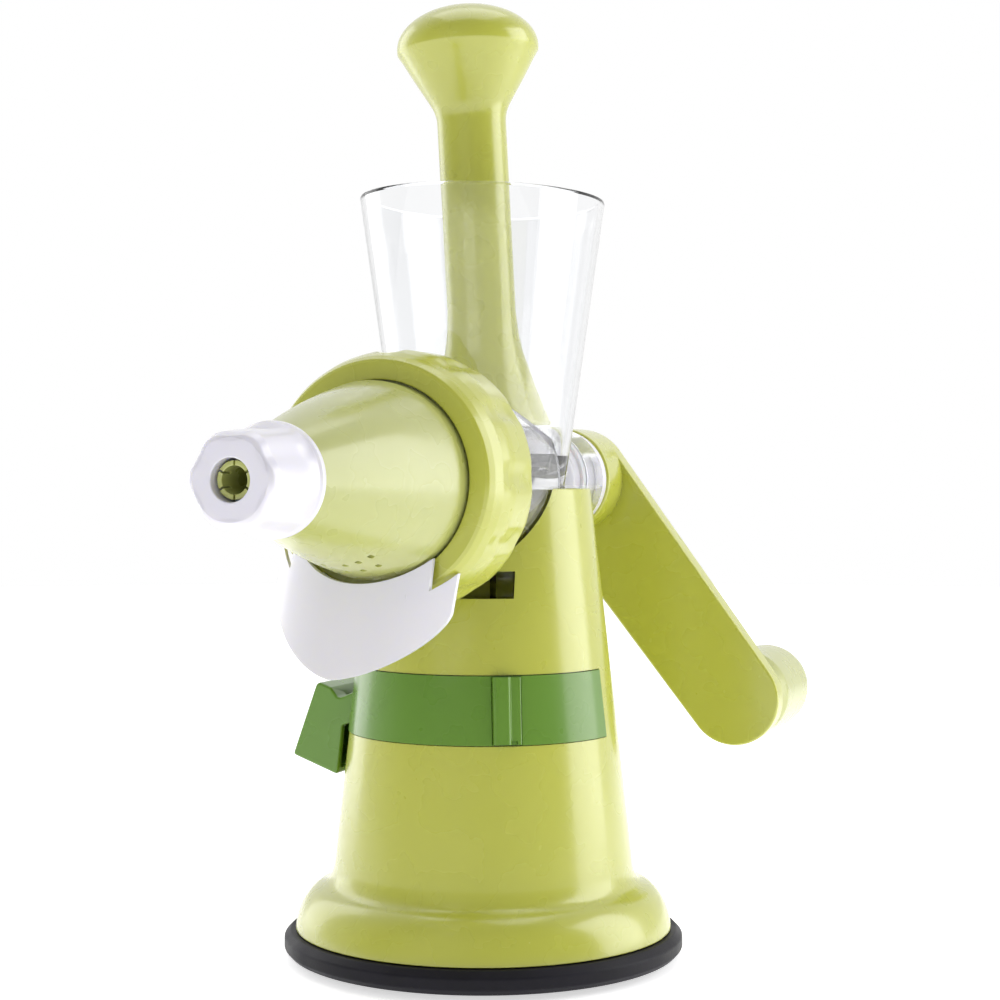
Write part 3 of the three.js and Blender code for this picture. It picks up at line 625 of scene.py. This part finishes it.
def rear_bush():
    """The white bearing behind the barrel."""
    outline = rounded([
        (6.3, -58.3), (10, -58.3), (10, -74.1), (20.3, -74.1, 0.6), (20.3, -79, 1), (19.3, -80.3, 0.5),
        (6.3, -80.3),
    ])
    obj = along_barrel(turned("rear_bearing", outline))
    return finish_piece(obj, "stand", "white_plastic", ["rear_bush"])


# ---- ring, cone, nut and spout ----
def lock_ring():
    """The locking ring: scalloped round its side and notched below for the spout."""
    def scallop(r, angle, s):
        fade = max(0.0, min(1.0, (85.0 - s) / 6)) * max(0.35, min(1.0, (s - 61) / 6))
        wave = max(0.0, math.cos(SCALLOPS * (angle - radians(9)))) ** 1.5
        return r - SCALLOP_DEPTH * wave * fade if r > 41 else r
    stations = [(43.15, 62 + 1.5 * i) for i in range(11)]
    outline = rounded([
        (37.2, 61), (42.4, 61), *stations, (42.65, 80, 3), (41.85, 84, 3), (40.55, 88, 3), (39.3, 90.4, 1),
        (38.2, 91, 0.6), (32.6, 91, 0.5), (32.6, 88.3), (37.2, 88.3),
    ], 5)
    obj = turned("locking_ring", outline, 288, scallop)
    cut(obj, block("notch", (-22.2, -52, 81.5), (22.2, -20, 92)))
    soften(obj, 0.35, 2, 50)
    spin(obj, -RING_TURN)
    return finish_piece(along_barrel(obj), "ring", "lime_plastic", ["lock_ring"])


def juice_holes():
    """The tools that cut two rows of small slots under the cone."""
    holes = []
    for s, angles in ((112, (-22, -11, 0, 11, 22)), (121, (-28, -18, -8, 8, 18, 28))):
        for angle in angles:
            hole = prism("hole", rounded([(-0.8, -1.5, 0.8), (0.8, -1.5, 0.8), (0.8, 1.5, 0.8),
                                          (-0.8, 1.5, 0.8)], 5), 20, 40)
            spin(spin(hole, 90, "X"), angle)
            holes.append(shift(hole, 0, 0, s))
    return holes


def nose_cone():
    """The slightly swollen cone with its flange, juice holes and slit outlet."""
    length = CONE_END - CONE_START
    slope = (CONE_START_R - CONE_END_R) / length

    def outside(s):
        along = s - CONE_START
        return CONE_START_R - slope * along + CONE_SWELL * math.sin(math.pi * along / length)

    stations = [CONE_START + (length - 0.3) * i / 20 for i in range(21)]
    outer = [(outside(s), s) for s in stations]
    inner = [(outside(s) - CONE_WALL, s) for s in reversed(stations[1:-1])]
    outline = rounded([
        (30.1, 85.5), (36.1, 85.5, 0.3), (36.1, 88, 0.3), (31.9, 88), (31.95, 91),
        (CONE_START_R, 96.2), *outer,
        (10, CONE_END), (10, 176, 0.5), (5.6, 176), (5.6, 183.4, 0.35), (4.1, 183.4, 0.35), (4.1, 160),
        *inner,
    ])
    obj = turned("juice_cone", outline, ROUND)
    slits = [spin(block("slit", (-0.35, -7, 179), (0.35, 7, 185)), turn) for turn in (0, 60, 120)]
    cut(obj, *juice_holes(), *slits)
    return finish_piece(along_barrel(obj), "stand", "lime_plastic", ["nose_cone"], "pale_lime")


def outlet_nut():
    """The white nut on the cone's end: a round collar that turns into lobes."""
    def lobes(r, angle, s):
        fade = max(0.0, min(1.0, (s - 163.4) / 2.5))
        wave = 0.5 - 0.5 * math.cos(NUT_LOBES * angle)
        return r - LOBE_DEPTH * wave ** 1.3 * fade if r > 12 else r
    outline = rounded([
        (10.5, CONE_END + 0.3), (17.35, CONE_END + 0.3, 0.4), (17.35, 162.2, 0.6), (16.7, 163.2, 0.4),
        (16.1, 166), (15.7, 171), (15.2, 178), (14.7, 182.4, 2), (13.6, 185.3, 1.6), (12.2, 185.95, 1),
        (6.3, 185.95, 0.5), (6.3, 178.5), (10.5, 178.5),
    ], 5)
    obj = turned("outlet_nut_body", outline, ROUND, lobes)
    return finish_piece(along_barrel(obj), "nut", "white_plastic", ["outlet_nut"])


SPOUT_HALF_W, SPOUT_SHOULDER, SPOUT_DEPTH = 31.6, -39, 24.8
SPOUT_SQUARENESS = 1.31           # 1 would make the lower edge half an ellipse


def spout_top(x):
    """The spout's top edge clears the cone in the middle and the ring at its sides."""
    clearance = 33.0 if abs(x) < 24.6 else 41.0
    return -math.sqrt(clearance ** 2 - x * x)


def spout_bottom(x):
    """The spout's rounded lower edge."""
    along = max(0.0, 1 - abs(x / SPOUT_HALF_W) ** (2 / SPOUT_SQUARENESS))
    return SPOUT_SHOULDER - SPOUT_DEPTH * along ** (SPOUT_SQUARENESS / 2)


def slab(name, across, out, at):
    """A thin curved slab: at(u, v, w) places its grid, with u across, v outwards and w through it."""
    def build(bm):
        low, high = ([[bm.verts.new(at(i / across, k / out, w)) for k in range(out + 1)]
                      for i in range(across + 1)] for w in (0, 1))
        for i in range(across):
            for k in range(out):
                bm.faces.new((low[i][k], low[i + 1][k], low[i + 1][k + 1], low[i][k + 1]))
                bm.faces.new((high[i][k], high[i][k + 1], high[i + 1][k + 1], high[i + 1][k]))
            for k in (0, out):
                bm.faces.new((low[i][k], high[i][k], high[i + 1][k], low[i + 1][k]))
        for i in (0, across):
            for k in range(out):
                bm.faces.new((low[i][k], low[i][k + 1], high[i][k + 1], high[i][k]))
    return object_from(name, build)


def juice_spout():
    """The white shield below the cone, with the tab and rails that hold it to the ring."""
    bulge, lean, thickness = 0.01504, 0.147, 2

    def apron(u, v, w):
        x = SPOUT_HALF_W * math.sin(math.pi / 2 * (2 * u - 1))
        y = spout_top(x) + (spout_bottom(x) - spout_top(x)) * v
        return x, y, 104 - bulge * x * x - lean * (y + 25) - thickness * (1 - w)

    def tab(u, v, w):
        angle, radius = radians(30.2) * (2 * u - 1), 38.4 + 4 * v
        return radius * math.sin(angle), -radius * math.cos(angle), 82.4 + 12.8 * w

    obj = slab("spout_apron", 120, 16, apron)
    rails = [block("rail", (x - 1.1, -38.4, 88.6), (x + 1.1, -34.4, 100)) for x in (-18.3, 18.3)]
    join(obj, slab("tab", 16, 1, tab), *rails)
    soften(obj, 0.45, 3, 50)
    spin(obj, -RING_TURN)
    return finish_piece(along_barrel(obj), "ring", "white_plastic", ["juice_spout"])


# ---- crank ----
CRANK_X = ARM_LENGTH * math.sin(radians(ARM_ANGLE))
CRANK_DROP = ARM_LENGTH * math.cos(radians(ARM_ANGLE))
HUB_R, END_R = 20.9, 18.6


def crank_arm():
    """The flat tapered arm with the hub behind it and the spindle's hole."""
    taper = math.degrees(math.asin((HUB_R - END_R) / ARM_LENGTH))
    outline = (arc((0, 0), (HUB_R, HUB_R), -taper, 180 + taper, 48)
               + arc((0, -ARM_LENGTH), (END_R, END_R), 180 + taper, 360 - taper, 48))
    obj = prism("crank_arm_body", outline, ARM_BACK, ARM_FRONT)
    soften(obj, 1.0, 4, 50)
    spin(obj, ARM_ANGLE)
    join(obj, turned("hub", rounded([(0, -98.5), (HUB_R, -98.5), (HUB_R, -80.7, 1.2), (0, -80.7)])))
    bore = disc("bore", 9.3, -110, -78, 96)
    hole = shift(disc("hole", 4.3, -110, -101, 48), CRANK_X, -CRANK_DROP, 0)
    cut(obj, bore, hole)
    return finish_piece(along_barrel(obj), "crank", "lime_plastic", ["crank_arm"])


def crank_cap():
    """The domed cap over the crank's screw."""
    outline = rounded([
        (8.1, -106.8), (11, -106.8), (11, -110.4, 1.5), (8.5, -112.6, 2), (0, -113), (0, -109.5),
        (8.1, -109.5),
    ])
    obj = along_barrel(turned("crank_cap_dome", outline, 96))
    return finish_piece(obj, "crank", "lime_plastic", ["crank_cap"])


def on_knob(obj):
    """Moves a piece drawn about Z to the knob's axis."""
    return along_barrel(shift(obj, CRANK_X, -CRANK_DROP, 0))


def crank_knob():
    """The turned grip at the arm's end."""
    far = -166.1
    nose = [(r, far + 15.2 - s) for r, s in arc((5, 0), (12.5, 15.1), 0, 84, 14)]
    outline = rounded([
        (4.3, -108.1), (11.5, -108.1, 1), (14.6, -110, 3), (17.5, -119, 6), (17.5, -135), *nose,
        (7, far), (7, -157.6), (4.3, -157.6),
    ], 6)
    obj = on_knob(turned("crank_knob_grip", outline))
    return finish_piece(obj, "handle", "lime_plastic", ["crank_knob"], "pale_lime")


# ---- pusher ----
PUSHER_FOOT, PUSHER_TOP, PUSHER_SHAFT_R, PUSHER_WALL = 191.8, 346.6, 12.6, 2.4
FOOT_HEIGHT = 43


def lean_pusher(obj):
    """Leans the pusher in the hopper's mouth, about its foot."""
    heading = radians(PUSHER_HEADING)
    axis = Vector((math.cos(heading), math.sin(heading), 0))
    about = Matrix.Translation((0.0014, 0.0005, PUSHER_FOOT * MM))
    back = Matrix.Translation((0, 0, -PUSHER_FOOT * MM))
    return place(obj, about @ Matrix.Rotation(radians(PUSHER_LEAN), 4, axis) @ back)


def foot_oval(obj):
    """Squeezes the round foot to an oval that follows the hopper's throat."""
    for vert in obj.data.vertices:
        share = min(1.0, max(0.0, (PUSHER_FOOT + FOOT_HEIGHT - vert.co.z / MM) / FOOT_HEIGHT))
        vert.co.x *= 1 - 0.13 * share
        vert.co.y *= 1 + 0.08 * share
    return obj


def pusher():
    """The hollow pusher: bell foot hollowed for the auger, shaft and mushroom grip."""
    foot, top, shaft = PUSHER_FOOT, PUSHER_TOP, PUSHER_SHAFT_R
    inside = shaft - PUSHER_WALL
    skirt = curve_through([
        (25.85, foot + 1.2), (25, foot + 3.4), (22.6, foot + 8), (19.8, foot + 14.4), (17.4, foot + 21),
        (15.2, foot + 27), (13.6, foot + 34), (shaft, foot + FOOT_HEIGHT),
    ], 5)
    neck = curve_through([
        (shaft, 303), (shaft + 0.15, 305.6), (13.6, 308.6), (15.3, 311.8), (20.2, 320), (24.2, 327),
    ], 5)
    crown = arc((0, top - 15.6), (25.9, 15.5), -6, 89, 26)
    outline = [
        (25.2, foot), (25.75, foot + 0.5), *skirt, *neck, *crown, (0, top - 0.1), (0, top - 3),
        (12, top - 4.5), (21, 331), (inside, 308), (inside, foot + 42), (14.8, foot + 22),
        (19.6, foot + 9), (23.2, foot + 3.2), (23.2, foot),
    ]
    obj = lean_pusher(foot_oval(turned("pusher_body", outline, 144)))
    cut(obj, along_barrel(disc("saddle", 30, -60, 60, 128)))
    return finish_piece(obj, "pusher", "lime_plastic", ["pusher"])


# ---- auger ----
def auger():
    """A round-edged flight of constant pitch that tapers with the cone, on a tapering core."""
    first, last, steps, sides = -52.0, 148.0, 360, 72
    pitch, flight_r, core_r, socket_r = 24.0, 15.7, 8.9, 6.3
    taper_from, taper = 84, 5.7

    def build(bm):
        rings = []
        for k in range(steps + 1):
            s = first + (last - first) * k / steps
            flight = flight_r - taper * max(0, s - taper_from) / (last - taper_from)
            core = core_r - 3 * max(0, s - 60) / (last - 60)
            turn = 2 * math.pi * s / pitch
            ring = []
            for i in range(sides):
                angle = 2 * math.pi * i / sides
                reach = core + (flight - core) * ((1 + math.cos(angle)) / 2) ** 3
                angle += turn
                ring.append(bm.verts.new((reach * math.cos(angle), reach * math.sin(angle), s)))
            rings.append(ring)
        skin(bm, rings)

    obj = object_from("auger_screw", build)
    join(obj, turned("collar", [(5, -54), (15.5, -54), (15.5, -48), (5, -48)], 96))
    cut(obj, disc("socket", socket_r, -56, -29, 64))
    return finish_piece(along_barrel(obj), "crank", "white_plastic", ["auger"])


# ---- return spring ----
def return_spring():
    """The coil round the lift rod, built at one length, though the real coil shortens as the rod rises."""
    radius, wire, low, high, coils = 9.2, 0.9, 13.6, 28.6, 3
    steps, sides = coils * 48, 16

    def build(bm):
        rings = []
        for k in range(steps + 1):
            turn = 2 * math.pi * coils * k / steps
            outward = Vector((math.cos(turn), math.sin(turn), 0))
            centre = radius * outward + Vector((0, 0, low + (high - low) * k / steps))
            ring = []
            for i in range(sides):
                a = 2 * math.pi * i / sides
                side = math.cos(a) * outward + Vector((0, 0, math.sin(a)))
                ring.append(bm.verts.new(centre + wire * side))
            rings.append(ring)
        skin(bm, rings)

    obj = finish_piece(object_from("return_coil", build), "stand", "steel", ["return_spring"])
    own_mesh(obj)
    return obj


# ---- carried-over CAD nodes ----
def dress_nodes():
    """Gives each CAD node its material, for those that no finished piece replaces."""
    for part in frame["record"]["subparts"]:
        obj = frame["nodes"][part["node"]]
        for slot in obj.material_slots:
            slot.material = MATERIALS[part["material_slot"]]


# ---- camera, light and floor ----
def camera():
    """A level camera at the height of the barrel's axis."""
    distance, side = 0.732, 0.006
    data = bpy.data.cameras.new("camera")
    data.lens = 72
    data.sensor_width = 36
    data.shift_y = -0.02
    obj = new_object("camera", data)
    yaw = radians(YAW)
    obj.location = (distance * math.sin(yaw) + side * math.cos(yaw),
                    -distance * math.cos(yaw) + side * math.sin(yaw), AXIS_Z * MM)
    obj.rotation_euler = (radians(90), 0, yaw)
    bpy.context.scene.camera = obj


def softbox(name, bearing, distance, height, size, watts, shines=True):
    """A soft panel facing the object's middle; its bearing is in degrees to the camera's right."""
    data = bpy.data.lights.new(name, "AREA")
    data.shape = "RECTANGLE"
    data.size, data.size_y = size
    data.energy = watts
    obj = new_object(name, data)
    turn = radians(YAW + bearing)
    obj.location = (distance * math.sin(turn), -distance * math.cos(turn), height)
    aim = Vector((0, 0, 0.17)) - obj.location
    obj.rotation_euler = aim.to_track_quat("-Z", "Y").to_euler()
    obj.visible_glossy = shines
    return obj


def lights():
    """A key on the right, a rim on the left, a top light, and a fill that leaves no reflection."""
    softbox("key", 92, 1.0, 0.4, (0.7, 1.2), 7.5)
    softbox("left_rim", -128, 1.0, 0.4, (0.5, 1.2), 2.4)
    softbox("top", 180, 0.15, 1.2, (0.8, 0.8), 2.5)
    softbox("fill", -30, 1.3, 0.7, (1.0, 1.0), 4, shines=False)


def sky(tree):
    """A white sky that lights the object less from the camera's side."""
    place_node = tree.nodes.new("ShaderNodeTexCoord")
    facing = tree.nodes.new("ShaderNodeVectorMath")
    facing.operation = "DOT_PRODUCT"
    facing.inputs[1].default_value = (-math.sin(radians(YAW)), math.cos(radians(YAW)), 0)
    link(tree, place_node.outputs["Generated"], facing.inputs[0])
    ramp = tree.nodes.new("ShaderNodeMapRange")
    ramp.inputs["From Min"].default_value = -0.3
    ramp.inputs["From Max"].default_value = 0.5
    ramp.inputs["To Min"].default_value = 0.28
    ramp.inputs["To Max"].default_value = 1.0
    link(tree, facing.outputs["Value"], ramp.inputs["Value"])
    rays = tree.nodes.new("ShaderNodeLightPath")
    straight = tree.nodes.new("ShaderNodeMath")
    straight.operation = "MAXIMUM"
    link(tree, rays.outputs["Is Camera Ray"], straight.inputs[0])
    link(tree, rays.outputs["Is Transmission Ray"], straight.inputs[1])
    strength = tree.nodes.new("ShaderNodeMath")
    strength.operation = "MAXIMUM"
    link(tree, ramp.outputs["Result"], strength.inputs[0])
    link(tree, straight.outputs[0], strength.inputs[1])
    return strength.outputs[0]


def surroundings():
    """The white sky and a pale floor that glows a little, so that it meets the sky without a line."""
    world = bpy.data.worlds.new("studio")
    bpy.context.scene.world = world
    world.use_nodes = True
    background = world.node_tree.nodes["Background"]
    background.inputs["Color"].default_value = (1, 1, 1, 1)
    link(world.node_tree, sky(world.node_tree), background.inputs["Strength"])
    floor = turned("floor", [(0, -0.05), (2600, -0.05), (2600, -3), (0, -3)], 96)
    material, tree, principled = shader("floor", (0.93, 0.93, 0.935), 0.6)
    link(tree, spread(tree, noise(tree, 20, 3), 0.55, 0.65), principled.inputs["Roughness"])
    principled.inputs["Emission Color"].default_value = (1, 1, 1, 1)
    principled.inputs["Emission Strength"].default_value = 0.6
    floor.data.materials.append(material)
    bpy.context.scene.view_settings.view_transform = "Standard"


camera()
dress_nodes()
for make in (column, band, band_clip, suction_pad, lever, hopper, rear_bush, lock_ring, nose_cone,
             outlet_nut, juice_spout, crank_arm, crank_cap, crank_knob, pusher, auger, return_spring):
    make()
lights()
surroundings()
